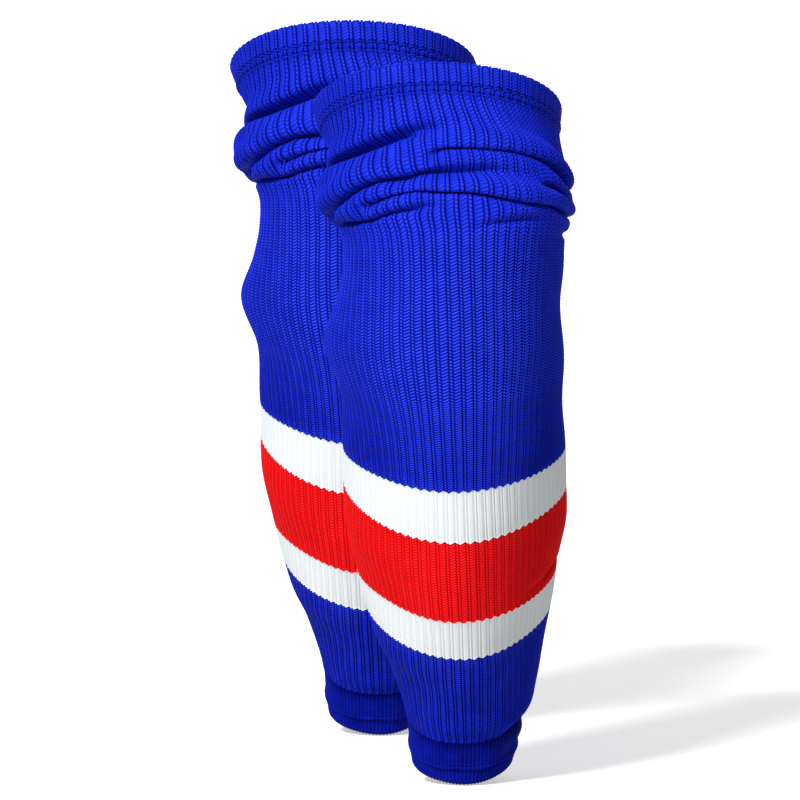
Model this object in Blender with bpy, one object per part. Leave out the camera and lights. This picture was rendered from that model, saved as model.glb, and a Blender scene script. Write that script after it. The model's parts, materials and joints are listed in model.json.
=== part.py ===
"""A pair of footless rib-knit ice hockey socks, standing in the shape of two slightly bent legs.

Each sock is a knitted tube, open at both ends. From top to bottom it is a turned thigh hem, a bunched thigh,
a knee, a shin, a white, a red and a white stripe, a lower blue stretch, and a tighter ankle cuff with its own hem.
The knees face -Y. The left sock is the nearer one, and the right sock stands behind it.
Units are metres, and +Z is up.
"""

import math
from collections import namedtuple

import bmesh
import bpy
from mathutils import Vector

# Driving dimensions
WALL = 0.004                  # ribbed knit, ridge to inner face
BUNCHED_WALL = 0.005          # the thigh is pushed down, so its knit lies in folds
HEM_WALL = 0.005              # a hem is the knit turned over once
CUFF_WALL = 0.0035
GAP = 0.0003                  # clearance kept between touching pieces
THREAD_RADIUS = 0.0007        # one row of hem stitching
SEAM_RADIUS = 0.0012          # overlocked edge of a sewn seam
SEAM_END_GAP = 0.0010         # the back seam's lengths stop this far short of each other
SIDES = 24                    # facets round each tube
ROW_STEP = 0.020              # most height between two rows of facets

# Heights of the boundaries, each measured at the centre of its section
CUFF_BOTTOM = 0.0165
CUFF_HEM_TOP = 0.034
CUFF_TOP = 0.054
LOWER_WHITE_BOTTOM = 0.147
RED_BOTTOM = 0.177
UPPER_WHITE_BOTTOM = 0.249
UPPER_WHITE_TOP = 0.2825
KNEE_BOTTOM = 0.345
KNEE_TOP = 0.466
HEM_BOTTOM = 0.5515
RIM = 0.5745

STITCH_SPACING = 0.006        # between the two rows of stitching on a hem
STITCH_INSET = 0.003          # from a hem's inner edge to its nearer row
KNEE_CENTRE = Vector((-0.009, 0.0, 0.405))
RIGHT_SOCK_OFFSET = Vector((-0.070, 0.338, 0.0))

# A section of the sock: its height, half width (X) and half depth, how much its near side narrows like an egg,
# the place of its centre, and how far its near side is tilted up, in degrees
Section = namedtuple("Section", "height half_width half_depth egg x y tilt")
SECTIONS = (
    Section(0.0165, 0.0410, 0.044, 0.00, 0.0010, 0.0980, -21.0),
    Section(0.0340, 0.0450, 0.047, 0.00, 0.0015, 0.0920, -20.0),
    Section(0.0540, 0.0475, 0.051, 0.05, 0.0020, 0.0850, -17.5),
    Section(0.0675, 0.0530, 0.057, 0.08, 0.0050, 0.0800, -19.0),
    Section(0.0860, 0.0575, 0.062, 0.12, 0.0045, 0.0735, -20.5),
    Section(0.1065, 0.0640, 0.070, 0.18, 0.0025, 0.0660, -21.5),
    Section(0.1270, 0.0715, 0.078, 0.20, -0.0010, 0.0590, -21.8),
    Section(0.1470, 0.0763, 0.085, 0.25, -0.0020, 0.0520, -21.5),
    Section(0.1770, 0.0820, 0.091, 0.25, -0.0030, 0.0420, -18.0),
    Section(0.2176, 0.0910, 0.098, 0.25, -0.0050, 0.0300, -18.3),
    Section(0.2490, 0.0920, 0.100, 0.25, -0.0055, 0.0210, -18.0),
    Section(0.2825, 0.0920, 0.100, 0.25, -0.0055, 0.0140, -12.0),
    Section(0.3320, 0.0920, 0.099, 0.23, -0.0077, 0.0060, -6.0),
    Section(0.3760, 0.0980, 0.100, 0.20, -0.0146, 0.0010, -2.0),
    Section(0.4120, 0.0927, 0.099, 0.18, -0.0110, 0.0000, 1.0),
    Section(0.4380, 0.0910, 0.098, 0.15, -0.0073, 0.0005, 4.0),
    Section(0.4660, 0.0930, 0.100, 0.12, -0.0065, 0.0030, 7.0),
    Section(0.4850, 0.1025, 0.107, 0.10, -0.0110, 0.0060, 10.0),
    Section(0.5080, 0.1050, 0.109, 0.08, -0.0135, 0.0120, 14.0),
    Section(0.5325, 0.0963, 0.102, 0.06, -0.0125, 0.0220, 20.0),
    Section(0.5515, 0.0980, 0.104, 0.05, -0.0180, 0.0300, 23.0),
    Section(0.5745, 0.1030, 0.108, 0.05, -0.0210, 0.0400, 25.0),
)


def clear_scene():
    for item in list(bpy.data.objects):
        bpy.data.objects.remove(item)


# ---------------------------------------------------------------- materials

def make_material(name, colour, roughness):
    material = bpy.data.materials.new(name)
    material.use_nodes = True
    shader = material.node_tree.nodes["Principled BSDF"]
    shader.inputs["Base Color"].default_value = (*colour, 1.0)
    shader.inputs["Roughness"].default_value = roughness
    shader.inputs["Metallic"].default_value = 0.0
    material.diffuse_color = (*colour, 1.0)
    return material


def make_materials():
    return {
        "blue": make_material("blue_knit", (0.010, 0.018, 0.640), 0.75),
        "white": make_material("white_knit", (0.860, 0.880, 0.860), 0.80),
        "red": make_material("red_knit", (0.880, 0.004, 0.006), 0.75),
        "cuff": make_material("cuff_knit", (0.006, 0.008, 0.300), 0.85),
        "thread": make_material("blue_thread", (0.008, 0.014, 0.420), 0.60),
    }


# ---------------------------------------------------------------- the shape of a sock

def section_slope(index):
    """Rate of change of every value at a section, from the sections on either side of it."""
    before = SECTIONS[max(index - 1, 0)]
    after = SECTIONS[min(index + 1, len(SECTIONS) - 1)]
    rise = after.height - before.height
    return [(b - a) / rise for a, b in zip(before, after)]


def section_at(height):
    """The section at a height, on a smooth cubic through the sections above."""
    index = 0
    while index < len(SECTIONS) - 2 and height > SECTIONS[index + 1].height:
        index += 1
    low, high = SECTIONS[index], SECTIONS[index + 1]
    step = high.height - low.height
    t = (height - low.height) / step
    values = []
    for a, b, slope_a, slope_b in zip(low, high, section_slope(index), section_slope(index + 1)):
        start = (2 * t ** 3 - 3 * t ** 2 + 1) * a + (t ** 3 - 2 * t ** 2 + t) * step * slope_a
        end = (3 * t ** 2 - 2 * t ** 3) * b + (t ** 3 - t ** 2) * step * slope_b
        values.append(start + end)
    return Section(*values)


def egg_reach(egg):
    """The widest value of sin(angle) * (1 - egg * cos(angle)), so that half_width is the true half width."""
    if egg < 0.001:
        return 1.0
    cosine = (1 - math.sqrt(1 + 8 * egg ** 2)) / (4 * egg)
    return math.sqrt(1 - cosine ** 2) * (1 - egg * cosine)


def sock_point(height, angle, outward):
    """A point on the sock: angle 0 is its front (-Y), and outward is measured from its outer face."""
    section = section_at(height)
    tilt = math.radians(section.tilt)
    narrowing = (1 - section.egg * math.cos(angle)) / egg_reach(section.egg)
    across = (section.half_width + outward) * math.sin(angle) * narrowing
    back = -(section.half_depth + outward) * math.cos(angle)
    return Vector((section.x + across, section.y + back * math.cos(tilt), height - back * math.sin(tilt)))


def row_heights(low, high):
    steps = max(1, math.ceil((high - low) / ROW_STEP))
    return [low + (high - low) * row / steps for row in range(steps + 1)]


# ---------------------------------------------------------------- pieces

def place(piece, material, collection, parent):
    """Puts a piece whose points are in the sock's frame under a parent empty."""
    piece.data.materials.append(material)
    collection.objects.link(piece)
    piece.parent = parent
    piece.location = -Vector(parent["sock_place"])
    return piece


def make_tube(name, low, high, wall, material, collection, parent, proud=0.0):
    """A closed ring of knit between two heights: a straight turned tube, then shaped to the sock."""
    mesh = bpy.data.meshes.new(name)
    ring = bmesh.new()
    heights = row_heights(low + GAP / 2, high - GAP / 2)
    outer = [ring.verts.new((1.0 + proud, 0.0, height)) for height in heights]
    inner = [ring.verts.new((1.0 + proud - wall, 0.0, height)) for height in reversed(heights)]
    profile = outer + inner
    edges = [ring.edges.new((a, b)) for a, b in zip(profile, profile[1:] + profile[:1])]
    bmesh.ops.spin(ring, geom=profile + edges, axis=(0, 0, 1), cent=(0, 0, 0),
                   steps=SIDES, angle=2 * math.pi, use_merge=True)
    for vert in ring.verts:
        outward = math.hypot(vert.co.x, vert.co.y) - 1.0
        vert.co = sock_point(vert.co.z, math.atan2(vert.co.x, -vert.co.y), outward)
    bmesh.ops.recalc_face_normals(ring, faces=ring.faces)
    ring.to_mesh(mesh)
    ring.free()
    mesh.shade_smooth()
    mesh.set_sharp_from_angle(angle=math.radians(40))
    return place(bpy.data.objects.new(name, mesh), material, collection, parent)


def make_thread(name, points, radius, closed, material, collection, parent):
    """A line of stitching: a bevelled curve, closed where it runs round the sock."""
    curve = bpy.data.curves.new(name, "CURVE")
    curve.dimensions = "3D"
    curve.bevel_depth = radius
    curve.bevel_resolution = 0
    curve.use_fill_caps = not closed
    spline = curve.splines.new("POLY")
    spline.points.add(len(points) - 1)
    for point, place_on_sock in zip(spline.points, points):
        point.co = (*place_on_sock, 1.0)
    spline.use_cyclic_u = closed
    return place(bpy.data.objects.new(name, curve), material, collection, parent)


def ring_points(height, outward):
    return [sock_point(height, 2 * math.pi * side / SIDES, outward) for side in range(SIDES)]


def back_points(spans, outward):
    """Points up the back of the sock, on the rows of the tubes that the seam lies against."""
    heights = [height for low, high in spans for height in row_heights(low + GAP / 2, high - GAP / 2)]
    heights[0] += SEAM_END_GAP
    heights[-1] -= SEAM_END_GAP
    return [sock_point(height, math.pi, outward) for height in heights]


# ---------------------------------------------------------------- one sock

def make_thigh(side, materials, collection, pivot):
    """What moves when the knee bends: the hem with its two rows of stitching, and the bunched thigh."""
    blue, thread = materials["blue"], materials["thread"]
    make_tube(f"{side}_thigh_hem", HEM_BOTTOM, RIM, HEM_WALL, blue, collection, pivot, proud=0.001)
    make_tube(f"{side}_thigh_knit", KNEE_TOP, HEM_BOTTOM, BUNCHED_WALL, blue, collection, pivot)
    lower_row = HEM_BOTTOM + STITCH_INSET
    on_hem = 0.001 + GAP + THREAD_RADIUS
    for row, height in (("lower", lower_row), ("upper", lower_row + STITCH_SPACING)):
        make_thread(f"{side}_thigh_hem_stitch_{row}", ring_points(height, on_hem), THREAD_RADIUS, True,
                    thread, collection, pivot)
    seam = back_points([(KNEE_TOP, HEM_BOTTOM)], -BUNCHED_WALL - GAP - SEAM_RADIUS)
    make_thread(f"{side}_thigh_back_seam", seam, SEAM_RADIUS, False, thread, collection, pivot)


def make_knee(side, materials, collection, sock):
    """The stretch that folds and stretches when the knee bends."""
    make_tube(f"{side}_knee_knit", KNEE_BOTTOM, KNEE_TOP, WALL, materials["blue"], collection, sock)
    seam = back_points([(KNEE_BOTTOM, KNEE_TOP)], -WALL - GAP - SEAM_RADIUS)
    make_thread(f"{side}_knee_back_seam", seam, SEAM_RADIUS, False, materials["thread"], collection, sock)


def make_shin(side, materials, collection, sock):
    """The shin, its three stripes and the lower blue stretch, with the seam up the back of them all."""
    spans = (
        ("calf_knit", CUFF_TOP, LOWER_WHITE_BOTTOM, "blue"),
        ("white_stripe_lower", LOWER_WHITE_BOTTOM, RED_BOTTOM, "white"),
        ("red_stripe", RED_BOTTOM, UPPER_WHITE_BOTTOM, "red"),
        ("white_stripe_upper", UPPER_WHITE_BOTTOM, UPPER_WHITE_TOP, "white"),
        ("shin_knit", UPPER_WHITE_TOP, KNEE_BOTTOM, "blue"),
    )
    for name, low, high, colour in spans:
        make_tube(f"{side}_{name}", low, high, WALL, materials[colour], collection, sock)
    seam = back_points([(low, high) for name, low, high, colour in spans], -WALL - GAP - SEAM_RADIUS)
    make_thread(f"{side}_shin_back_seam", seam, SEAM_RADIUS, False, materials["thread"], collection, sock)


def make_cuff(side, materials, collection, sock):
    """The tighter ankle cuff, the seam that joins it on, and its stitched hem."""
    cuff, thread = materials["cuff"], materials["thread"]
    make_tube(f"{side}_ankle_cuff", CUFF_HEM_TOP, CUFF_TOP, CUFF_WALL, cuff, collection, sock)
    make_tube(f"{side}_cuff_hem", CUFF_BOTTOM, CUFF_HEM_TOP, HEM_WALL, cuff, collection, sock, proud=0.001)
    join = ring_points(CUFF_TOP - 2 * SEAM_RADIUS, -CUFF_WALL - GAP - SEAM_RADIUS)
    make_thread(f"{side}_cuff_join_seam", join, SEAM_RADIUS, True, thread, collection, sock)
    upper_row = CUFF_HEM_TOP - STITCH_INSET
    on_hem = 0.001 + GAP + THREAD_RADIUS
    for row, height in (("upper", upper_row), ("lower", upper_row - STITCH_SPACING)):
        make_thread(f"{side}_cuff_hem_stitch_{row}", ring_points(height, on_hem), THREAD_RADIUS, True,
                    thread, collection, sock)


def make_empty(name, location, sock_place, collection, parent):
    """An empty that pieces hang from. sock_place is where it stands in the sock's own frame."""
    empty = bpy.data.objects.new(name, None)
    empty.location = location
    empty["sock_place"] = sock_place
    empty.parent = parent
    collection.objects.link(empty)
    return empty


def make_sock(side, place_in_pair, materials, collection, pair):
    sock = make_empty(f"{side}_sock", place_in_pair, Vector((0, 0, 0)), collection, pair)
    pivot = make_empty(f"{side}_knee_axis", KNEE_CENTRE, KNEE_CENTRE, collection, sock)
    make_thigh(side, materials, collection, pivot)
    make_knee(side, materials, collection, sock)
    make_shin(side, materials, collection, sock)
    make_cuff(side, materials, collection, sock)


def centre_on_base(pair, collection):
    """Moves the pair so that the middle of the bottom of its box is the origin."""
    bpy.context.view_layer.update()
    depsgraph = bpy.context.evaluated_depsgraph_get()
    corners = []
    for item in collection.objects:
        if item.type != "EMPTY":
            shape = item.evaluated_get(depsgraph).to_mesh()
            corners += [item.matrix_world @ vert.co for vert in shape.vertices]
    low = Vector([min(corner[axis] for corner in corners) for axis in range(3)])
    high = Vector([max(corner[axis] for corner in corners) for axis in range(3)])
    pair.location = Vector((-(low.x + high.x) / 2, -(low.y + high.y) / 2, -low.z))
    bpy.context.view_layer.update()


def main():
    clear_scene()
    collection = bpy.data.collections.new("hockey_socks")
    bpy.context.scene.collection.children.link(collection)
    materials = make_materials()
    pair = make_empty("sock_pair", Vector((0, 0, 0)), Vector((0, 0, 0)), collection, None)
    make_sock("left", Vector((0, 0, 0)), materials, collection, pair)
    make_sock("right", RIGHT_SOCK_OFFSET, materials, collection, pair)
    centre_on_base(pair, collection)


main()
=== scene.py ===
"""Looks of a pair of footless rib-knit ice hockey socks: ribbed knit with real relief, folds, hems and seams.

Units are metres. Each sock is drawn on one surface, which has the same cross-sections as the CAD: a height up
its middle, an angle round it (0 is the front, which faces -Y) and a distance outward from its outer face.
"""

import json
import math
from collections import namedtuple

import bpy
import numpy as np
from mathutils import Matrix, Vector


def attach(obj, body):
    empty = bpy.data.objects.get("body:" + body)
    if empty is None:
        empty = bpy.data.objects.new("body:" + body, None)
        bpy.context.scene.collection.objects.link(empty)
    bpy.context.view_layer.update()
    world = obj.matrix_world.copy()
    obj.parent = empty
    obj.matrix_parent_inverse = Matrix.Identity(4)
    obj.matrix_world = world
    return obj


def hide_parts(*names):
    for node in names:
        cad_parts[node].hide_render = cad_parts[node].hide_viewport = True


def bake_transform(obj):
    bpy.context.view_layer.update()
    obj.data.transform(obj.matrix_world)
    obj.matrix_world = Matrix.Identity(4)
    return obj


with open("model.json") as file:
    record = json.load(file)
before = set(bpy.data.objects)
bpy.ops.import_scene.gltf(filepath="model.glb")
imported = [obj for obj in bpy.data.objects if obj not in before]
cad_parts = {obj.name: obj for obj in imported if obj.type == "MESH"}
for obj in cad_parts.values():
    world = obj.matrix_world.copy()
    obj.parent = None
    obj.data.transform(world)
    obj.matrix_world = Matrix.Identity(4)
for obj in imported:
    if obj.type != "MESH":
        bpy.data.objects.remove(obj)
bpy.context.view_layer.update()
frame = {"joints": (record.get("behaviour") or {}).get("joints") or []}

# Cross-sections of the sock, from the cuff's bottom to the rim: half_width is across it and half_depth from
# front to back, egg makes the back wider than the front, x and y are the centre, and tilt is in degrees,
# where a negative one puts the front lower
Section = namedtuple("Section", "height half_width half_depth egg x y tilt")
SECTIONS = (
    Section(0.0165, 0.0410, 0.044, 0.00, 0.0010, 0.0980, -21.0),
    Section(0.0340, 0.0450, 0.047, 0.00, 0.0015, 0.0920, -20.0),
    Section(0.0540, 0.0475, 0.051, 0.05, 0.0020, 0.0850, -17.5),
    Section(0.0675, 0.0530, 0.057, 0.08, 0.0050, 0.0800, -19.0),
    Section(0.0860, 0.0575, 0.062, 0.12, 0.0045, 0.0735, -20.5),
    Section(0.1065, 0.0640, 0.070, 0.18, 0.0025, 0.0660, -21.5),
    Section(0.1270, 0.0715, 0.078, 0.20, -0.0010, 0.0590, -21.8),
    Section(0.1470, 0.0763, 0.085, 0.25, -0.0020, 0.0520, -21.5),
    Section(0.1770, 0.0820, 0.091, 0.25, -0.0030, 0.0420, -18.0),
    Section(0.2176, 0.0910, 0.098, 0.25, -0.0050, 0.0300, -18.3),
    Section(0.2490, 0.0920, 0.100, 0.25, -0.0055, 0.0210, -18.0),
    Section(0.2825, 0.0920, 0.100, 0.25, -0.0055, 0.0140, -12.0),
    Section(0.3320, 0.0920, 0.099, 0.23, -0.0077, 0.0060, -6.0),
    Section(0.3760, 0.0980, 0.100, 0.20, -0.0146, 0.0010, -2.0),
    Section(0.4120, 0.0927, 0.099, 0.18, -0.0110, 0.0000, 1.0),
    Section(0.4380, 0.0910, 0.098, 0.15, -0.0073, 0.0005, 4.0),
    Section(0.4660, 0.0930, 0.100, 0.12, -0.0065, 0.0030, 7.0),
    Section(0.4850, 0.1025, 0.107, 0.10, -0.0110, 0.0060, 10.0),
    Section(0.5080, 0.1050, 0.109, 0.08, -0.0135, 0.0120, 14.0),
    Section(0.5325, 0.0963, 0.102, 0.06, -0.0125, 0.0220, 20.0),
    Section(0.5515, 0.0980, 0.104, 0.05, -0.0180, 0.0300, 23.0),
    Section(0.5745, 0.1030, 0.108, 0.05, -0.0210, 0.0400, 25.0),
)
KNEE_CENTRE = np.array((-0.009, 0.0, 0.405))
CUFF_BOTTOM, CUFF_HEM_TOP, CUFF_TOP = 0.0165, 0.034, 0.054
LOWER_WHITE_BOTTOM, RED_BOTTOM = 0.147, 0.177
UPPER_WHITE_BOTTOM, UPPER_WHITE_TOP = 0.249, 0.2825
KNEE_BOTTOM, KNEE_TOP = 0.345, 0.466
HEM_BOTTOM, RIM = 0.5515, 0.5745

# Knit
RIBS = 72                     # ribs round the body
CUFF_RIBS = 84                # finer ribs round the cuff
ROWS_PER_COURSE = 2           # one mesh row on the yarn, one between two yarns
WALL = 0.0030                 # outer face to inner face
HEM_WALL = 0.0050             # a hem is the knit turned over once
CUFF_HEM_WALL = 0.0045
TURN_STEPS = 6                # rows round the turn of a hem, less one
COURSES = (                   # courses counted down from the rim, at the heights of the colour changes
    (0, RIM - 0.0022), (10, HEM_BOTTOM), (70, KNEE_TOP), (122, KNEE_BOTTOM), (160, UPPER_WHITE_TOP),
    (177, UPPER_WHITE_BOTTOM), (208, RED_BOTTOM), (224, LOWER_WHITE_BOTTOM), (266, CUFF_TOP),
)
COLOUR_CHANGES = (160, 177, 208, 224)
CUFF_COURSES = ((0, CUFF_TOP + 0.004), (14, CUFF_HEM_TOP), (26, CUFF_BOTTOM))

# Heights of the rows of stitching
HEM_STITCH_LOWER, HEM_STITCH_UPPER = HEM_BOTTOM + 0.0005, HEM_BOTTOM + 0.0060
CUFF_STITCH_LOWER, CUFF_STITCH_UPPER = CUFF_HEM_TOP - 0.0060, CUFF_HEM_TOP
STITCH_RADIUS = 0.00045
STITCH_LIFT = 0.0003          # how far the thread's highest points stand over the sock's plain surface
STITCH_SWING = 0.0012         # half the depth to which the thread dips between ribs

# One rib, from one dark trough to the next: place across it (0 to 1), height of the knit in millimetres,
# height of the yarn's bead in millimetres, and how far the yarn runs up there, in courses
RibColumn = namedtuple("RibColumn", "place relief bead rise")
RIB = (
    RibColumn(0.00, -1.50, 0.10, -0.10),
    RibColumn(0.07, -0.50, 0.30, -0.38),
    RibColumn(0.20, -0.20, 0.45, -0.28),
    RibColumn(0.40, -0.15, 0.45, 0.05),
    RibColumn(0.58, 0.35, 0.60, 0.38),
    RibColumn(0.68, -1.40, 0.60, 0.28),
    RibColumn(0.78, 0.25, 0.60, 0.12),
    RibColumn(0.89, 0.30, 0.65, 0.00),
    RibColumn(0.96, -0.60, 0.30, -0.05),
)
CUFF_RIB = (
    RibColumn(0.00, -0.50, 0.10, 0.0),
    RibColumn(0.25, 0.00, 0.25, 0.2),
    RibColumn(0.50, 0.15, 0.30, 0.0),
    RibColumn(0.75, 0.00, 0.25, -0.2),
)

# Across a rib, how much painted shade the knit has all the way down, in its troughs and holes: HOLLOWS where
# it is closed, and OPEN_HOLLOWS where the knee opens it. BARS says how much painted shade it has only between
# two yarns.
HOLLOWS = (
    (0.0, 1.0), (0.05, 0.9), (0.11, 0.40), (0.22, 0.32), (0.48, 0.22), (0.57, 0.0), (0.64, 0.5), (0.72, 0.5),
    (0.78, 0.0), (0.90, 0.0), (0.95, 0.8), (1.0, 1.0),
)
OPEN_HOLLOWS = (
    (0.0, 0.75), (0.04, 0.6), (0.10, 0.10), (0.22, 0.05), (0.48, 0.0), (0.57, 0.0), (0.64, 0.85),
    (0.72, 0.85), (0.78, 0.0), (0.90, 0.0), (0.95, 0.5), (1.0, 0.75),
)
BARS = ((0.0, 1.0), (0.40, 0.95), (0.60, 0.85), (0.70, 1.0), (0.80, 0.85), (0.90, 0.85), (1.0, 1.0))
# The cuff's painted shade in its troughs and between its yarns
CUFF_HOLLOWS = ((0.0, 0.55), (0.3, 0.1), (0.5, 0.0), (0.7, 0.1), (1.0, 0.55))
CUFF_BARS = ((0.0, 1.0), (0.3, 0.6), (0.5, 0.5), (0.7, 0.6), (1.0, 1.0))
# How far the knit is opened, down the body as a share of its courses
OPENNESS = ((0.0, 0.55), (0.24, 0.50), (0.30, 1.0), (0.55, 1.0), (0.84, 0.95), (1.0, 0.90))
# How much painted shade lies over the knit, down the body and down the cuff as a share of their courses. The
# body's is darker in its creased top, in bands beside the white stripes and towards the cuff, and its two
# narrow peaks are painted shade lines at the rows of stitching; the cuff's is a painted shadow at its top,
# under the body's edge.
PAINTED_SHADE_DOWN = (
    (0.0, 0.10), (0.0255, 0.10), (0.0275, 0.60), (0.0295, 0.10), (0.0345, 0.10), (0.0368, 0.75),
    (0.0395, 0.10), (0.24, 0.08), (0.32, 0.0), (0.44, 0.0), (0.58, 0.14), (0.61, 0.0), (0.83, 0.0),
    (0.86, 0.14), (1.0, 0.22),
)
CUFF_PAINTED_SHADOW = ((0.0, 0.60), (0.12, 0.50), (0.25, 0.12), (0.50, 0.0), (1.0, 0.0))
# How much painted shade darkens the knit towards its sides, most on the right side, which is turned from the
# light, round the body as a share of its ribs
SIDE_SHADE = (
    (0.0, 0.08), (0.25, 0.18), (0.36, 0.12), (0.44, 0.0), (0.56, 0.0), (0.64, 0.17), (0.75, 0.25),
    (1.0, 0.08),
)

# How far the ribs stand out at each height: 1 is full relief, and a leg stretches them flatter
RELIEF = (
    (0.054, 0.70), (0.147, 0.50), (0.165, 0.35), (0.180, 0.45), (0.245, 0.45), (0.265, 0.35), (0.2825, 0.50),
    (0.332, 0.75), (0.376, 0.85), (0.466, 1.10), (0.545, 1.15), (0.5745, 0.70),
)
# How far the yarns stand out from the gaps between them, at each height: 1 is full
BEADS = ((0.054, 0.70), (0.147, 0.80), (0.2825, 0.90), (0.445, 1.0), (0.470, 0.60), (0.5745, 0.50))
# Where the middle rib of the front runs, as an x at each height
FRONT_LINE = (
    (0.054, 0.0045), (0.086, 0.0040), (0.147, 0.0020), (0.177, 0.0010), (0.2176, -0.0008),
    (0.249, -0.0020), (0.2825, -0.0033), (0.332, -0.0054), (0.376, -0.0072), (0.412, -0.0087),
    (0.438, -0.0098), (0.466, -0.0109), (0.508, -0.0140), (0.5515, -0.0190), (0.5745, -0.0210),
)
# How much the knee and the shin spread the ribs at the front, at each height: 0 is even all round
FRONT_SPREAD = (
    (0.054, 0.45), (0.080, 0.42), (0.110, 0.25), (0.147, 0.12), (0.200, 0.03), (0.2825, 0.0),
    (0.345, 0.15), (0.405, 0.26), (0.466, 0.28), (0.520, 0.15), (0.5745, 0.066),
)

# A crease runs round the sock through points: angle in degrees, height, then in millimetres how deep the knit
# is tucked in below the line, how far the roll above it stands out, and how far its ribs are pulled round.
# width is the roll's scale, and back is how soon the ribs come back below the line, in widths.
Crease = namedtuple("Crease", "width back points")
CREASES = (
    # A wide tuck below the hem, at the front and to one side
    Crease(0.0062, 2.4, (
        (-180, 0.5240, 0, 0, 0), (-110, 0.5235, 2, 1, -8), (-88, 0.5240, 2, 1, -12), (-73, 0.5247, 9, 3, -14),
        (-53, 0.5252, 14, 3, -12), (-39, 0.5277, 14, 3, -8), (-25, 0.5323, 14, 2, -3), (-14, 0.5343, 8, 1, 0),
        (-3, 0.5350, 4, 0, 0), (10, 0.5355, 0, 0, 0), (120, 0.5240, 0, 0, 0))),
    # The large roll, right round the thigh
    Crease(0.0060, 0.9, (
        (-180, 0.4900, 6, 4, 0), (-130, 0.4870, 6, 4, 0), (-95, 0.4845, 2, 2, 0), (-82, 0.4858, 7, 4, 0),
        (-63, 0.4918, 12, 6, -4), (-50, 0.4985, 12, 6, 0), (-40, 0.5025, 12, 6, 4), (-26, 0.5035, 12, 6, 8),
        (-16, 0.5068, 12, 5, 8), (-5, 0.5080, 11, 3, 5), (8, 0.5090, 10, 2, 2), (18, 0.5105, 8, 1, 0),
        (28, 0.5112, 5, 0, 0), (42, 0.5115, 2, 0, 0), (56, 0.5115, 0, 0, 0), (150, 0.4920, 0, 0, 0))),
    # A roll above it, which starts at the front
    Crease(0.0044, 0.8, (
        (-180, 0.5150, 0, 0, 0), (-25, 0.5170, 0, 0, 0), (-10, 0.5175, 6, 3, 2), (-5, 0.5188, 9, 5, 3),
        (13, 0.5190, 11, 6, 8), (27, 0.5195, 12, 6, 12), (37, 0.5188, 12, 7, 15), (48, 0.5175, 13, 7, 18),
        (58, 0.5160, 12, 6, 20), (70, 0.5085, 11, 5, 20), (79, 0.5070, 6, 3, 16), (95, 0.5060, 2, 1, 10),
        (120, 0.5080, 6, 4, 6), (150, 0.5120, 4, 3, 0))),
    # A short pocket between the two, at the side
    Crease(0.0040, 0.9, (
        (-180, 0.4980, 0, 0, 0), (48, 0.5040, 0, 0, 0), (60, 0.5020, 8, 3, 0), (68, 0.5000, 9, 3, 0),
        (80, 0.4980, 3, 1, 0), (90, 0.4970, 0, 0, 0))),
    # The roll below the large one, across the front
    Crease(0.0046, 0.8, (
        (-180, 0.4870, 0, 0, 0), (-62, 0.4835, 0, 0, 0), (-50, 0.4865, 5, 3, 0), (-44, 0.4885, 9, 5, 3),
        (-32, 0.4918, 11, 6, 4), (-18, 0.4938, 11, 6, 4), (-6, 0.4928, 11, 6, 3), (12, 0.4925, 11, 6, 5),
        (22, 0.4905, 11, 6, 6), (36, 0.4878, 11, 6, 6), (48, 0.4875, 11, 6, 6), (61, 0.4875, 12, 6, 6),
        (76, 0.4845, 9, 5, 4), (90, 0.4840, 3, 3, 0), (120, 0.4830, 6, 4, 0), (150, 0.4840, 4, 2, 0))),
    # The lowest roll, over the knee
    Crease(0.0050, 0.9, (
        (-180, 0.4720, 4, 3, 0), (-120, 0.4740, 4, 3, 0), (-92, 0.4765, 3, 2, 0), (-78, 0.4768, 7, 4, 0),
        (-64, 0.4760, 10, 5, 0), (-49, 0.4768, 10, 5, 0), (-40, 0.4800, 10, 5, 3), (-29, 0.4830, 9, 4, 5),
        (-19, 0.4853, 7, 2, 4), (-9, 0.4868, 3, 0, 2), (0, 0.4870, 0, 0, 0), (70, 0.4700, 0, 0, 0),
        (110, 0.4700, 3, 2, 0))),
    # A dimple beside it
    Crease(0.0050, 1.5, (
        (-180, 0.4750, 0, 0, 0), (10, 0.4730, 0, 0, 0), (22, 0.4760, 3, 2, 4), (36, 0.4790, 4, 2, 6),
        (45, 0.4805, 3, 2, 6), (58, 0.4810, 0, 0, 0))),
    # A pinch at the side of the red stripe
    Crease(0.0040, 1.0, (
        (-180, 0.1880, 0, 0, 0), (50, 0.1900, 0, 0, 0), (75, 0.1900, 2, 0, 0), (95, 0.1900, 4, 0, 0),
        (120, 0.1890, 0, 0, 0))),
)

# Yarns: painted highlight colour where they stand out, plain colour, and painted shade colour in the gaps
YARNS = {
    "blue_knit": ((0.036, 0.075, 0.87), (0.008, 0.022, 0.60), (0.0, 0.001, 0.08)),
    "white_knit": ((0.75, 0.77, 0.77), (0.72, 0.75, 0.76), (0.66, 0.70, 0.72)),
    "red_knit": ((0.97, 0.024, 0.030), (0.82, 0.005, 0.007), (0.42, 0.0, 0.0)),
    "cuff_knit": ((0.007, 0.018, 0.50), (0.003, 0.010, 0.34), (0.0, 0.001, 0.10)),
}
THREADS = {"blue_thread": (0.012, 0.040, 0.80), "cuff_thread": (0.004, 0.014, 0.40)}

CAMERA_DISTANCE = 30.0
CAMERA_ELEVATION = 6.5        # degrees
CAMERA_TARGET = (0.0008, 0.0, 0.3071)
SENSOR = 36.0                 # millimetres
VIEW_WIDTH = 0.6667           # metres across the picture at the object

KEY_DIRECTION = (0.34, 0.73, -0.59)
KEY_STRENGTH = 3.85
KEY_ANGLE = 12.0              # degrees, how wide the light looks from the object
WORLD_LIGHT = 0.39            # how bright the surroundings are for the object
WORLD_SEEN = 1.0              # and for the camera
FLOOR_REACH = 30.0
FLOOR_LEVEL = -0.0005         # just under the cuffs


# ---------------------------------------------------------------- the sock's surface

SECTION_HEIGHTS = np.array([section.height for section in SECTIONS])
SECTION_VALUES = np.array([section[1:] for section in SECTIONS])


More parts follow.
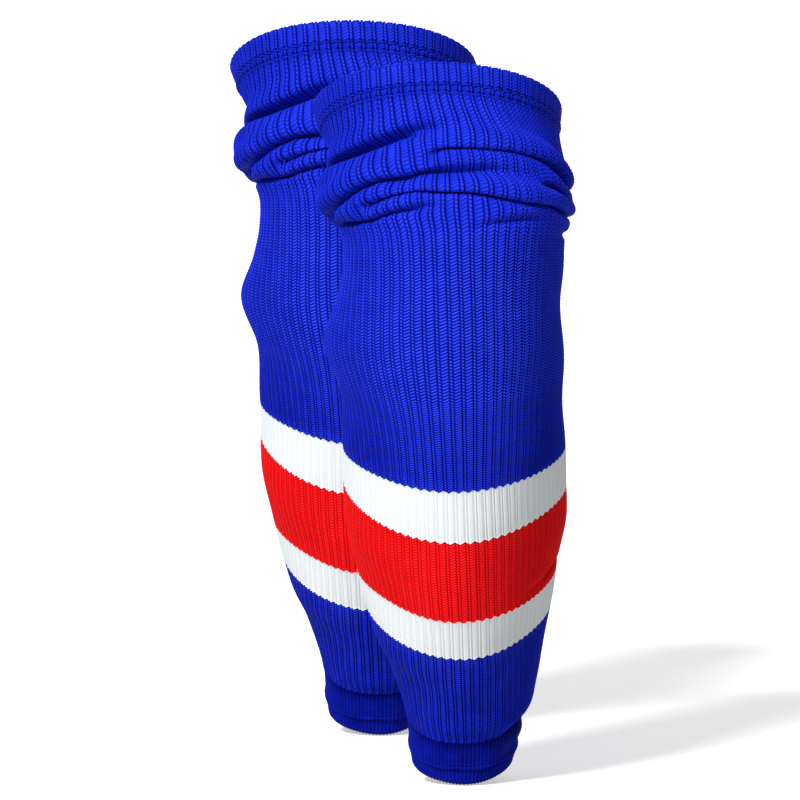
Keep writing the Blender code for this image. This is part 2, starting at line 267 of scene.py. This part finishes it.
def section_slopes():
    """Rate of change of every value at each section, from the sections on either side of it."""
    before = np.maximum(np.arange(len(SECTIONS)) - 1, 0)
    after = np.minimum(np.arange(len(SECTIONS)) + 1, len(SECTIONS) - 1)
    rise = SECTION_HEIGHTS[after] - SECTION_HEIGHTS[before]
    return (SECTION_VALUES[after] - SECTION_VALUES[before]) / rise[:, None]


SECTION_SLOPES = section_slopes()


def section_at(height):
    """Half width, half depth, egg, x, y and tilt at each height, on a smooth cubic through the sections."""
    height = np.asarray(height, float)
    index = np.clip(np.searchsorted(SECTION_HEIGHTS, height) - 1, 0, len(SECTIONS) - 2)
    step = SECTION_HEIGHTS[index + 1] - SECTION_HEIGHTS[index]
    t = ((height - SECTION_HEIGHTS[index]) / step)[..., None]
    t = np.clip(t, -0.2, 1.2)
    step = step[..., None]
    start = (2 * t ** 3 - 3 * t ** 2 + 1) * SECTION_VALUES[index]
    start = start + (t ** 3 - 2 * t ** 2 + t) * step * SECTION_SLOPES[index]
    end = (3 * t ** 2 - 2 * t ** 3) * SECTION_VALUES[index + 1]
    end = end + (t ** 3 - t ** 2) * step * SECTION_SLOPES[index + 1]
    return np.moveaxis(start + end, -1, 0)


def egg_reach(egg):
    """The widest value of sin(angle) * (1 - egg * cos(angle)), so that half_width is the true half width."""
    egg = np.maximum(egg, 1e-4)
    cosine = (1 - np.sqrt(1 + 8 * egg ** 2)) / (4 * egg)
    return np.sqrt(1 - cosine ** 2) * (1 - egg * cosine)


def sock_points(height, angle, outward):
    """Points on the sock, as an array with x, y and z last."""
    half_width, half_depth, egg, x, y, tilt = section_at(height)
    tilt = np.radians(tilt)
    across = (half_width + outward) * np.sin(angle) * (1 - egg * np.cos(angle)) / egg_reach(egg)
    back = -(half_depth + outward) * np.cos(angle)
    return np.stack((x + across, y + back * np.cos(tilt), height - back * np.sin(tilt)), -1)


def rib_angles(height, shares):
    """Angles of points spread round a section by length, wider apart at the front.

    shares are the points' places round the section, from -0.5 to 0.5.
    """
    half_width, half_depth, egg, x, _, _ = section_at(height)
    angles = np.linspace(-math.pi, math.pi, 361)
    across = half_width * np.sin(angles) * (1 - egg * np.cos(angles)) / egg_reach(egg)
    back = -half_depth * np.cos(angles)
    lengths = np.concatenate(([0.0], np.cumsum(np.hypot(np.diff(across), np.diff(back)))))
    girth = lengths[-1]
    lengths = lengths / girth - 0.5
    shift = (np.interp(height, *zip(*FRONT_LINE)) - x) / girth
    spread = np.interp(height, *zip(*FRONT_SPREAD))
    turned = shares + shift + spread / (2 * math.pi) * np.sin(2 * math.pi * shares)
    whole = np.floor(turned + 0.5)
    return np.interp(turned - whole, lengths, angles) + 2 * math.pi * whole


def crease_curves(crease):
    """A crease's height, depth, roll and pull at every degree from -180, smoothed over about 10 degrees."""
    places, *columns = zip(*crease.points)
    degrees = np.arange(-180, 181)
    weights = np.hanning(13)
    curves = []
    for column in columns:
        curve = np.interp(degrees, places, column, period=360)
        curves.append(sum(weight * np.interp(degrees + step, degrees, curve, period=360)
                          for step, weight in zip(range(-6, 7), weights)) / weights.sum())
    return degrees, curves


CREASE_CURVES = [crease_curves(crease) for crease in CREASES]


def crease_push(crease, curves, height, angle):
    """How far one crease moves the knit outward, up and round (in radians)."""
    degrees, columns = curves
    place = np.degrees(angle)
    level, depth, roll, pull = (np.interp(place, degrees, column, period=360) for column in columns)
    # The points are where the edge of the roll ends up, after the roll has pushed it down
    t = (level + 0.00105 * roll - height) / crease.width
    valley = np.exp(-((t - 0.82) / 0.66) ** 2)
    bulge = np.exp(-((t + 0.6) / 0.75) ** 2)
    outward = (roll * bulge - 1.42 * depth * valley) / 1000
    upward = -1.15 * roll * np.exp(-((t + 0.15) / 0.7) ** 2) / 1000
    reach = np.where(t < 0, 3.2, crease.back)
    return outward, upward, pull * np.exp(-(t / reach) ** 2) / 100


def folded_place(height, angle):
    """Height, angle and distance outward of points of the knit, after its creases and its slow waves."""
    pushes = [crease_push(*pair, height, angle) for pair in zip(CREASES, CREASE_CURVES)]
    outward = sum(push[0] for push in pushes) + slow_waves(height, angle)
    return height + sum(push[1] for push in pushes), angle + sum(push[2] for push in pushes), outward


def slow_waves(height, angle):
    """Slight unevenness of worn cloth, in metres."""
    waves = 0.0006 * np.sin(3 * angle + 38 * height + 0.4)
    waves = waves + 0.0005 * np.sin(5 * angle - 61 * height + 1.9)
    return waves + 0.0004 * np.sin(2 * angle + 92 * height + 2.6)


# ---------------------------------------------------------------- knitted pieces

# A profile is the closed line that a piece's rows of stitches follow, down its outer face and up its inner
# one. A row has its course (for the pattern), height and distance outward, the way in which its ribs stand
# out (out and up) and how strongly they do, its side (1 outer, -1 inner) and whether it is on a hem's turn.
Row = namedtuple("Row", "course height outward out up strength side rim")


def course_heights(courses, table):
    """Plain heights of courses, going on at the last pitch below the table."""
    numbers, heights = zip(*table)
    pitch = (heights[-1] - heights[-2]) / (numbers[-1] - numbers[-2])
    return np.interp(courses, numbers, heights) + np.maximum(0, courses - numbers[-1]) * pitch


def even_courses():
    """Heights of the body's courses by course and angle, spaced evenly along the folded knit."""
    angles = np.linspace(-math.pi, math.pi, 181)
    tables = []
    numbers = []
    for (first, top), (last, bottom) in zip(COURSES, COURSES[1:]):
        heights = np.linspace(top, bottom, 241)
        level, around, outward = folded_place(heights[:, None], angles[None, :])
        steps = np.linalg.norm(np.diff(sock_points(level, around, outward), axis=0), axis=-1)
        lengths = np.vstack((np.zeros(len(angles)), np.cumsum(steps, axis=0)))
        wanted = np.arange(first, last, 0.25)
        shares = (wanted - first) / (last - first)
        tables.append(np.array([np.interp(shares, length / length[-1], heights) for length in lengths.T]).T)
        numbers.append(wanted)
    below = COURSES[-1][0] + np.arange(0, 3, 0.25)
    tables.append(np.repeat(course_heights(below, COURSES)[:, None], len(angles), axis=1))
    return np.concatenate(numbers + [below]), angles, np.vstack(tables)


def even_height(course, angle, table):
    """Heights of courses at angles, between the lines of the table."""
    numbers, angles, heights = table
    row = np.clip((course - numbers[0]) * 4, 0, len(numbers) - 1.001)
    column = ((angle + math.pi) / (2 * math.pi) % 1) * (len(angles) - 1)
    i, j = row.astype(int), column.astype(int)
    a, b = row - i, column - j
    upper = heights[i, j] * (1 - b) + heights[i, j + 1] * b
    lower = heights[i + 1, j] * (1 - b) + heights[i + 1, j + 1] * b
    return upper * (1 - a) + lower * a


def plain_rows(first, last, table, wall=WALL, outward=0.0):
    """Rows of a piece between two courses, outer face down and inner face up."""
    count = int(round((last - first) * ROWS_PER_COURSE))
    outer = first + np.arange(count + 1) / ROWS_PER_COURSE
    inner = np.linspace(last, first, max(3, int((last - first) / 3)))
    rows = []
    for course in outer:
        height = float(course_heights(course, table))
        rows.append(Row(course, height, outward, 1.0, 0.0, 1.0, 1, False))
    for course in inner:
        height = float(course_heights(course, table))
        rows.append(Row(course, height, outward - wall, 1.0, 0.0, -0.35, -1, False))
    return rows


def turned_rows(first, last, table, up, wall=HEM_WALL, outward=0.0006):
    """Rows of a turned hem: up is 1 where the turn is at its top, and -1 where it is at its bottom."""
    rows = plain_rows(first, last, table, wall, outward)
    radius = wall / 2
    edge = course_heights(first if up > 0 else last, table)
    centre = edge - up * radius
    turn = []
    for step in range(TURN_STEPS + 1):
        around = math.pi * step / TURN_STEPS
        height = centre + up * radius * math.sin(around)
        reach = outward - radius + radius * math.cos(around)
        turn.append(Row(step / ROWS_PER_COURSE, height, reach, math.cos(around), up * math.sin(around),
                        1.0, 1, True))
    straight = [row for row in rows if up * (centre - row.height) > 0.0003]
    outer = [row for row in straight if row.side > 0]
    inner = [row for row in straight if row.side < 0]
    if up > 0:
        return outer + inner + turn[::-1]
    return outer + turn + inner


def rib_columns(ribs, rib):
    """Place round the sock, and relief, bead, rise of every column of the mesh."""
    number = np.repeat(np.arange(ribs), len(rib))
    place, relief, bead, rise = (np.tile([column[i] for column in rib], ribs) for i in range(4))
    return number + place, relief / 1000, bead / 1000, rise


def loop_size(course):
    """How much bigger than usual the steps of a course are: the last loops of a colour are slack."""
    return 1 + 0.35 * sum(math.exp(-((course - change) / 3) ** 2) for change in COLOUR_CHANGES)


def body_points(rows, extra):
    """The points of a stretch of the body, one line of them for each row of its profile."""
    across, relief, bead, rise = rib_columns(RIBS, RIB)
    shares = across / RIBS - 0.5
    points = []
    for row in rows:
        angle = rib_angles(row.height, shares)
        if row.up or row.rim:
            height = np.full(len(angle), row.height)
        else:
            wave = rise * loop_size(row.course) if row.side > 0 else 0.0
            height = even_height(row.course - wave, angle, COURSE_TABLE)
        flat = np.interp(row.height, *zip(*RELIEF))
        crest = math.cos(2 * math.pi * row.course) * np.interp(row.height, *zip(*BEADS))
        standing = row.strength * (relief * flat + crest * bead)
        level, around, outward = folded_place(height, angle)
        outward = row.outward + (outward + extra(row, height, angle)) + row.out * standing
        points.append(sock_points(level + row.up * standing, around, outward))
    return np.array(points), across


def cuff_points(rows, extra):
    """The same for the cuff, which has its own finer ribs and no creases."""
    across, relief, bead, rise = rib_columns(CUFF_RIBS, CUFF_RIB)
    angle = 2 * math.pi * (across / CUFF_RIBS - 0.5)
    pitch = (CUFF_COURSES[0][1] - CUFF_COURSES[-1][1]) / (CUFF_COURSES[-1][0] - CUFF_COURSES[0][0])
    points = []
    for row in rows:
        height = row.height + rise * pitch * (row.side > 0 and not row.up)
        crest = math.cos(2 * math.pi * row.course)
        standing = row.strength * (relief + crest * bead)
        outward = row.outward + slow_waves(height, angle) + extra(row, height, angle)
        points.append(sock_points(height + row.up * standing, angle, outward + row.out * standing))
    return np.array(points), across


def add_object(name, mesh, material):
    """Gives a mesh its material and puts it in the scene."""
    mesh.materials.append(material)
    made = bpy.data.objects.new(name, mesh)
    bpy.context.scene.collection.objects.link(made)
    return made


def grid_mesh(name, points, i, j):
    """A mesh of points in rows and columns, closed both ways, with a quad at every row i and column j."""
    rows, columns, _ = points.shape
    below, beside = (i + 1) % rows, (j + 1) % columns
    corners = (i * columns + j, below * columns + j, below * columns + beside, i * columns + beside)
    quads = np.stack(corners, -1).reshape(-1, 4)
    mesh = bpy.data.meshes.new(name)
    mesh.vertices.add(rows * columns)
    mesh.vertices.foreach_set("co", points.reshape(-1).astype(np.float32))
    mesh.loops.add(len(quads) * 4)
    mesh.loops.foreach_set("vertex_index", quads.reshape(-1).astype(np.int32))
    mesh.polygons.add(len(quads))
    mesh.polygons.foreach_set("loop_start", np.arange(0, len(quads) * 4, 4, dtype=np.int32))
    mesh.update(calc_edges=True)
    mesh.validate()
    return mesh


def add_knit_uv(mesh, i, j, courses, across):
    """A UV map that counts ribs across and courses down."""
    next_rib = np.append(across[1:], math.ceil(across[-1]))
    next_course = np.append(courses[1:], courses[-1])
    u = np.stack((across[j], across[j], next_rib[j], next_rib[j]), -1).reshape(-1)
    v = np.stack((courses[i], next_course[i], next_course[i], courses[i]), -1).reshape(-1)
    uv = mesh.uv_layers.new(name="knit")
    uv.data.foreach_set("uv", np.stack((u, v), -1).reshape(-1).astype(np.float32))


def cut_rows(rows):
    """Numbers of the rows where the outer or the inner face stops at a cut edge."""
    edges = []
    for number, row in enumerate(rows):
        after = (number + 1) % len(rows)
        if row.side != rows[after].side and not (row.rim or rows[after].rim):
            edges += [number, after]
    return edges


def sharpen_rows(mesh, columns, numbers):
    """Makes the edges along these rows of the mesh sharp."""
    ends = np.empty(len(mesh.edges) * 2, dtype=np.int32)
    mesh.edges.foreach_get("vertices", ends)
    edge_rows = ends.reshape(-1, 2) // columns
    sharp = (edge_rows[:, 0] == edge_rows[:, 1]) & np.isin(edge_rows[:, 0], numbers)
    mesh.attributes.new("sharp_edge", "BOOLEAN", "EDGE").data.foreach_set("value", sharp)


def knit_piece(name, rows, material, origin, extra, cuff=False):
    """A piece of knit on a profile. extra says how far outward its stitching or its ends push it."""
    points, across = cuff_points(rows, extra) if cuff else body_points(rows, extra)
    i, j = np.meshgrid(np.arange(len(rows)), np.arange(len(across)), indexing="ij")
    mesh = grid_mesh(name, points + origin, i, j)
    add_knit_uv(mesh, i, j, np.array([row.course for row in rows]), across)
    mesh.shade_smooth()
    sharpen_rows(mesh, len(across), cut_rows(rows))
    return add_object(name, mesh, material)


COURSE_TABLE = even_courses()


# ---------------------------------------------------------------- thread

def tube_rings(path, radii, sides, closed):
    """Rings of points round a path, square to it."""
    if closed:
        along = np.roll(path, -1, 0) - np.roll(path, 1, 0)
    else:
        along = np.gradient(path, axis=0)
    along = along / np.linalg.norm(along, axis=1, keepdims=True)
    reference = np.array((0.13, 0.21, 0.97))
    side = np.cross(along, reference)
    side = side / np.linalg.norm(side, axis=1, keepdims=True)
    other = np.cross(along, side)
    turn = 2 * math.pi * np.arange(sides) / sides
    spokes = np.cos(turn)[None, :, None] * side[:, None] + np.sin(turn)[None, :, None] * other[:, None]
    return path[:, None] + radii[:, None, None] * spokes


def make_tube(name, path, radius, sides, closed, material):
    """A thread along a path, closed into a loop or with its ends drawn in."""
    count = len(path)
    radii = np.full(count, radius)
    if not closed:
        radii[0] = radii[-1] = radius * 0.05
    rings = tube_rings(path, radii, sides, closed)
    i, j = np.meshgrid(np.arange(count if closed else count - 1), np.arange(sides), indexing="ij")
    below, beside = (i + 1) % count, (j + 1) % sides
    quads = np.stack((i * sides + j, i * sides + beside, below * sides + beside, below * sides + j), -1)
    faces = quads.reshape(-1, 4).tolist()
    if not closed:
        faces.append(list(range(sides - 1, -1, -1)))
        faces.append([(count - 1) * sides + k for k in range(sides)])
    mesh = bpy.data.meshes.new(name)
    mesh.from_pydata(rings.reshape(-1, 3).tolist(), [], faces)
    mesh.shade_smooth()
    return add_object(name, mesh, material)


def hem_stitches(name, height, ribs, material, origin):
    """A running stitch round a hem, in its groove, which dips into the knit between two ribs."""
    steps = ribs * 8
    shares = np.arange(steps) / steps - 0.5
    if ribs == RIBS:
        angle = rib_angles(height, shares)
        level = np.full(steps, height)
    else:
        angle = 2 * math.pi * shares
        level = height + cuff_wander(angle)
    swing = STITCH_SWING * np.cos(2 * math.pi * ribs * shares + math.pi)
    outward = STITCH_LIFT - STITCH_SWING + swing
    path = sock_points(level, angle, outward + slow_waves(level, angle))
    return make_tube(name, path + origin, STITCH_RADIUS, 5, True, material)


def seam_along(name, heights, wall, material, origin):
    """An overlocked seam up the inside of the back: a thread wound round and round along it."""
    turns = (heights[-1] - heights[0]) / 0.0030
    steps = int(turns * 8)
    height = np.linspace(heights[0], heights[-1], steps)
    phase = 2 * math.pi * turns * np.arange(steps) / steps
    outward = -wall - 0.0016 + 0.0009 * np.cos(phase)
    half_depth = section_at(height)[1]
    angle = math.pi + 0.0016 * np.sin(phase) / half_depth
    return make_tube(name, sock_points(height, angle, outward) + origin, 0.0005, 5, False, material)


def seam_round(name, height, wall, material, origin):
    """An overlocked seam round the inside, where the cuff is joined on."""
    turns = 90
    steps = turns * 8
    angle = 2 * math.pi * np.arange(steps) / steps
    phase = turns * angle
    path = sock_points(height + 0.0012 * np.sin(phase), angle, -wall - 0.0014 + 0.0008 * np.cos(phase))
    return make_tube(name, path + origin, 0.0004, 5, True, material)


# ---------------------------------------------------------------- materials

class Nodes:
    """Short names for making shader nodes."""

    def __init__(self, material):
        material.use_nodes = True
        self.tree = material.node_tree
        self.shader = self.tree.nodes["Principled BSDF"]

    def node(self, kind, **values):
        made = self.tree.nodes.new(kind)
        for key, value in values.items():
            setattr(made, key, value)
        return made

    def link(self, a, b):
        self.tree.links.new(a, b)

    def math(self, operation, *values):
        made = self.node("ShaderNodeMath", operation=operation)
        for socket, value in zip(made.inputs, values):
            if isinstance(value, (int, float)):
                socket.default_value = value
            else:
                self.link(value, socket)
        return made.outputs[0]

    def ramp(self, factor, stops):
        """A grey ramp through (place, value) stops."""
        return self.colour_ramp(factor, [(place, (value, value, value)) for place, value in stops])

    def colour_ramp(self, factor, stops):
        """A ramp through (place, colour) stops."""
        made = self.node("ShaderNodeValToRGB")
        elements = made.color_ramp.elements
        while len(elements) < len(stops):
            elements.new(0.5)
        for element, (place, colour) in zip(elements, stops):
            element.position = place
            element.color = (*colour, 1.0)
        self.link(factor, made.inputs[0])
        return made.outputs[0]

    def mix(self, factor, a, b):
        """A mix of two colours, each a socket or three numbers."""
        made = self.node("ShaderNodeMix", data_type="RGBA")
        self.link(factor, made.inputs[0])
        for socket, value in ((made.inputs[6], a), (made.inputs[7], b)):
            if isinstance(value, tuple):
                socket.default_value = (*value, 1.0)
            else:
                self.link(value, socket)
        return made.outputs[2]

    def noise(self, scale, place, detail=2.0):
        """Noise at a place, which is a socket."""
        made = self.node("ShaderNodeTexNoise")
        made.inputs["Scale"].default_value = scale
        made.inputs["Detail"].default_value = detail
        self.link(place, made.inputs["Vector"])
        return made.outputs[0]

    def bump(self, height, strength, distance):
        """Fine relief, on the shader's normal."""
        made = self.node("ShaderNodeBump")
        made.inputs["Strength"].default_value = strength
        made.inputs["Distance"].default_value = distance
        self.link(height, made.inputs["Height"])
        self.link(made.outputs[0], self.shader.inputs["Normal"])


def yarn_gaps(nodes, course):
    """0 on a yarn, and 1 half way to the next."""
    wave = nodes.math("COSINE", nodes.math("MULTIPLY", course, 2 * math.pi))
    return nodes.math("POWER", nodes.math("MULTIPLY_ADD", wave, -0.5, 0.5), 1.4)


def paint_body_shade(nodes, rib, course):
    """Painted shade on the body's knit, in its troughs and holes, between its yarns and all over."""
    across = nodes.math("FRACT", rib)
    gaps = yarn_gaps(nodes, course)
    down = nodes.math("DIVIDE", course, COURSES[-1][0])
    opened = nodes.ramp(down, OPENNESS)
    hollow = nodes.mix(opened, nodes.ramp(across, HOLLOWS), nodes.ramp(across, OPEN_HOLLOWS))
    hole = nodes.math("MULTIPLY", nodes.math("MULTIPLY", nodes.ramp(across, BARS), gaps), opened)
    # painted shade towards the sides of the body
    sides = nodes.ramp(nodes.math("DIVIDE", rib, RIBS), SIDE_SHADE)
    # painted shade down the body, added to the painted side shade
    overall_shade = nodes.math("ADD", nodes.ramp(down, PAINTED_SHADE_DOWN), sides)
    return nodes.math("ADD", nodes.math("MAXIMUM", hollow, hole), overall_shade)


def paint_cuff_shade(nodes, rib, course):
    """The same for the cuff."""
    across = nodes.math("FRACT", rib)
    hole = nodes.math("MULTIPLY", nodes.ramp(across, CUFF_BARS), yarn_gaps(nodes, course))
    # painted shadow at the top of the cuff, under the body's edge
    overall_shade = nodes.ramp(nodes.math("DIVIDE", course, CUFF_COURSES[-1][0]), CUFF_PAINTED_SHADOW)
    return nodes.math("ADD", nodes.math("MAXIMUM", nodes.ramp(across, CUFF_HOLLOWS), hole), overall_shade)


def knit_material(name, crest, yarn, shade_colour):
    """Ribbed knit: its yarns' colour, with a painted highlight where they stand out and painted shade in the
    troughs, the holes and between the yarns.
    """
    cuff = name == "cuff_knit"
    material = bpy.data.materials.new(name)
    nodes = Nodes(material)
    uv = nodes.node("ShaderNodeUVMap", uv_map="knit").outputs[0]
    split = nodes.node("ShaderNodeSeparateXYZ")
    nodes.link(uv, split.inputs[0])
    darkness = (paint_cuff_shade if cuff else paint_body_shade)(nodes, split.outputs[0], split.outputs[1])
    place = nodes.node("ShaderNodeTexCoord").outputs["Object"]
    patches = nodes.noise(70.0, place, detail=6.0)
    strength, offset = (0.8, -0.20) if cuff else (0.24, -0.10)
    darkness = nodes.math("ADD", darkness, nodes.math("MULTIPLY_ADD", patches, strength, offset))
    darkness.node.use_clamp = True
    # darkness 0 gives the painted highlight colour and 1 the painted shade colour
    colour = nodes.colour_ramp(darkness, ((0.0, crest), (0.35, yarn), (1.0, shade_colour)))
    nodes.link(colour, nodes.shader.inputs["Base Color"])
    nodes.shader.inputs["Roughness"].default_value = 0.5
    nodes.shader.inputs["Specular IOR Level"].default_value = 0.02
    nodes.shader.inputs["Diffuse Roughness"].default_value = 0.5
    stretch = nodes.node("ShaderNodeMapping")
    stretch.inputs["Scale"].default_value = (7.0, 11.0, 1.0)
    nodes.link(uv, stretch.inputs["Vector"])
    fibres = nodes.noise(1.0, stretch.outputs[0], detail=4.0)
    nodes.bump(fibres, 0.6, 0.0008 if cuff else 0.0005)
    return material


def thread_material(name, colour):
    """Plied sewing thread."""
    material = bpy.data.materials.new(name)
    nodes = Nodes(material)
    plies = nodes.noise(900.0, nodes.node("ShaderNodeTexCoord").outputs["Object"])
    dark = tuple(0.4 * value for value in colour)
    nodes.link(nodes.mix(plies, colour, dark), nodes.shader.inputs["Base Color"])
    nodes.shader.inputs["Roughness"].default_value = 0.6
    nodes.shader.inputs["Specular IOR Level"].default_value = 0.05
    nodes.bump(plies, 1.0, 0.0002)
    return material


def make_materials():
    """Every yarn and thread, by name."""
    materials = {name: knit_material(name, *colours) for name, colours in YARNS.items()}
    materials.update({name: thread_material(name, colour) for name, colour in THREADS.items()})
    return materials


# ---------------------------------------------------------------- one sock

def stitch_grooves(row, height, angle):
    """The two rows of stitching draw the thigh hem in, with a raised welt between them."""
    if row.side < 0 or row.up:
        return 0.0
    lower = np.exp(-((height - HEM_STITCH_LOWER) / 0.0011) ** 2)
    upper = np.exp(-((height - HEM_STITCH_UPPER) / 0.0011) ** 2)
    welt = np.exp(-((height - HEM_BOTTOM - 0.0032) / 0.0018) ** 2)
    return -0.0020 * lower - 0.0018 * upper + 0.0011 * welt


def cuff_wander(angle):
    """How far the cuff's two rows of stitching stray from a level line."""
    return 0.0007 * np.sin(3 * angle + 0.8) + 0.0005 * np.sin(8 * angle + 2.1)


def cuff_grooves(row, height, angle):
    """The two rows of stitching draw the cuff's hem in, in the same way."""
    if row.side < 0 or row.up:
        return 0.0
    level = height - cuff_wander(angle)
    upper = np.exp(-((level - CUFF_STITCH_UPPER) / 0.0014) ** 2)
    lower = np.exp(-((level - CUFF_STITCH_LOWER) / 0.0014) ** 2)
    welt = np.exp(-((level - (CUFF_STITCH_UPPER + CUFF_STITCH_LOWER) / 2) / 0.0020) ** 2)
    return -0.0014 * upper - 0.0012 * lower + 0.0012 * welt


def calf_end(row, height, angle):
    """The body's lower edge is drawn in over the cuff, most of all at the sock's left."""
    end = np.exp(-((height - CUFF_TOP) / 0.007) ** 2)
    return -0.0042 * end * np.exp(-((angle - 1.5) / 0.6) ** 2)


def cuff_tuck(row, height, angle):
    """The cuff starts under the body's edge, then swells below it."""
    under = np.clip((height - CUFF_TOP + 0.001) / 0.003, 0, 1)
    swell = np.exp(-((height - 0.047) / 0.006) ** 2) * np.exp(-((angle - 1.3) / 0.7) ** 2)
    return -0.0022 * under + 0.0034 * swell


def finish_piece(piece, side, node, body):
    """Puts a piece on its body, or bakes its place into its mesh where it belongs to the knee, and lets it
    stand for its CAD node.
    """
    if body == "knee":
        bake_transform(piece)
    else:
        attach(piece, f"{side}_{body}")
    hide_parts(f"{side}_{node}")


def make_knit(side, origin, materials):
    """The ten pieces of knit: body, hem, cuff and the cuff's hem."""
    bands = (
        ("thigh_knit", 10, 70, "blue_knit", "knee"),
        ("knee_knit", 70, 122, "blue_knit", "knee"),
        ("shin_knit", 122, 160, "blue_knit", "knee"),
        ("white_stripe_upper", 160, 177, "white_knit", "shin"),
        ("red_stripe", 177, 208, "red_knit", "shin"),
        ("white_stripe_lower", 208, 224, "white_knit", "shin"),
        ("calf_knit", 224, 266, "blue_knit", "shin"),
    )
    for name, first, last, slot, body in bands:
        rows = plain_rows(first, last, COURSES)
        piece = knit_piece(f"{side}_{name}_cloth", rows, materials[slot], origin, calf_end)
        finish_piece(piece, side, name, body)
    rows = turned_rows(0, 10, COURSES, up=1)
    piece = knit_piece(f"{side}_thigh_hem_cloth", rows, materials["blue_knit"], origin, stitch_grooves)
    finish_piece(piece, side, "thigh_hem", "thigh")
    cuff = materials["cuff_knit"]
    rows = plain_rows(0, 14, CUFF_COURSES, outward=-0.0005)
    piece = knit_piece(f"{side}_ankle_cuff_cloth", rows, cuff, origin, cuff_tuck, cuff=True)
    finish_piece(piece, side, "ankle_cuff", "shin")
    rows = turned_rows(14, 26, CUFF_COURSES, up=-1, wall=CUFF_HEM_WALL, outward=-0.0002)
    piece = knit_piece(f"{side}_cuff_hem_cloth", rows, cuff, origin, cuff_grooves, cuff=True)
    finish_piece(piece, side, "cuff_hem", "shin")


def make_threads(side, origin, materials):
    """The four rows of stitching round the hems, the back seam in three stretches, and the cuff's seam."""
    rows = (
        ("thigh_hem_stitch_lower", HEM_STITCH_LOWER, RIBS, "blue_thread", "thigh"),
        ("thigh_hem_stitch_upper", HEM_STITCH_UPPER, RIBS, "blue_thread", "thigh"),
        ("cuff_hem_stitch_upper", CUFF_STITCH_UPPER, CUFF_RIBS, "cuff_thread", "shin"),
        ("cuff_hem_stitch_lower", CUFF_STITCH_LOWER, CUFF_RIBS, "cuff_thread", "shin"),
    )
    for name, height, ribs, slot, body in rows:
        piece = hem_stitches(f"{side}_{name}_thread", height, ribs, materials[slot], origin)
        finish_piece(piece, side, name, body)
    seams = (
        ("thigh_back_seam", (KNEE_TOP + 0.001, HEM_BOTTOM - 0.001)),
        ("knee_back_seam", (KNEE_BOTTOM + 0.001, KNEE_TOP - 0.001)),
        ("shin_back_seam", (CUFF_TOP + 0.004, KNEE_BOTTOM - 0.001)),
    )
    for name, heights in seams:
        piece = seam_along(f"{side}_{name}_thread", heights, WALL, materials["blue_thread"], origin)
        finish_piece(piece, side, name, "knee")
    cuff_thread = materials["cuff_thread"]
    piece = seam_round(f"{side}_cuff_join_seam_thread", CUFF_TOP - 0.0024, WALL, cuff_thread, origin)
    finish_piece(piece, side, "cuff_join_seam", "shin")


# ---------------------------------------------------------------- stage

def make_floor():
    """A plain pale floor. The camera sees it lighter than the object does, so it throws little light up."""
    mesh = bpy.data.meshes.new("floor")
    signs = ((-1, -1), (1, -1), (1, 1), (-1, 1))
    mesh.from_pydata([(x * FLOOR_REACH, y * FLOOR_REACH, FLOOR_LEVEL) for x, y in signs], [], [(0, 1, 2, 3)])
    material = bpy.data.materials.new("floor")
    nodes = Nodes(material)
    seen = nodes.node("ShaderNodeLightPath").outputs["Is Camera Ray"]
    nodes.link(nodes.mix(seen, (0.78, 0.78, 0.78), (0.95, 0.95, 0.95)), nodes.shader.inputs["Base Color"])
    nodes.shader.inputs["Roughness"].default_value = 1.0
    nodes.shader.inputs["Specular IOR Level"].default_value = 0.0
    nodes.shader.inputs["Emission Color"].default_value = (1.0, 1.0, 1.0, 1.0)
    nodes.link(nodes.math("MULTIPLY", seen, 0.45), nodes.shader.inputs["Emission Strength"])
    add_object("floor", mesh, material)


def make_sun(name, direction, strength, angle):
    """A large soft light, far away, that shines along a direction."""
    data = bpy.data.lights.new(name, "SUN")
    data.energy = strength
    data.angle = math.radians(angle)
    light = bpy.data.objects.new(name, data)
    light.rotation_euler = Vector(direction).to_track_quat("-Z", "Y").to_euler()
    bpy.context.scene.collection.objects.link(light)


def make_world():
    """Even soft light from all round, which the camera sees as plain white."""
    world = bpy.data.worlds.new("studio")
    bpy.context.scene.world = world
    world.use_nodes = True
    tree = world.node_tree
    background = tree.nodes["Background"]
    background.inputs["Color"].default_value = (1.0, 1.0, 1.0, 1.0)
    path = tree.nodes.new("ShaderNodeLightPath")
    strength = tree.nodes.new("ShaderNodeMapRange")
    strength.inputs["To Min"].default_value = WORLD_LIGHT
    strength.inputs["To Max"].default_value = WORLD_SEEN
    tree.links.new(path.outputs["Is Camera Ray"], strength.inputs["Value"])
    tree.links.new(strength.outputs[0], background.inputs["Strength"])


def make_stage():
    """Floor, surroundings and one soft light from the front, above and to the left."""
    make_floor()
    make_world()
    make_sun("key", KEY_DIRECTION, KEY_STRENGTH, KEY_ANGLE)
    view = bpy.context.scene.view_settings
    view.view_transform = "Standard"
    view.look = "None"


def make_camera():
    """A camera far in front of the pair, a little above its middle, that looks slightly down."""
    data = bpy.data.cameras.new("camera")
    data.sensor_width = SENSOR
    data.lens = SENSOR * CAMERA_DISTANCE / VIEW_WIDTH
    data.clip_end = 200.0
    camera = bpy.data.objects.new("camera", data)
    rise = math.radians(CAMERA_ELEVATION)
    x, y, z = CAMERA_TARGET
    camera.location = (x, y - CAMERA_DISTANCE * math.cos(rise), z + CAMERA_DISTANCE * math.sin(rise))
    camera.rotation_euler = (math.pi / 2 - rise, 0, 0)
    bpy.context.scene.collection.objects.link(camera)
    bpy.context.scene.camera = camera


# ---------------------------------------------------------------- the pair

def sock_origins():
    """Where each sock's own frame stands, from its knee joint."""
    joints = {joint["name"]: joint for joint in frame["joints"]}
    return {side: np.array(joints[f"{side}_knee"]["pos_m"]) - KNEE_CENTRE for side in ("left", "right")}


ORIGINS = sock_origins()

make_camera()
make_stage()
MATERIALS = make_materials()
for side_name, sock_origin in ORIGINS.items():
    make_knit(side_name, sock_origin, MATERIALS)
    make_threads(side_name, sock_origin, MATERIALS)
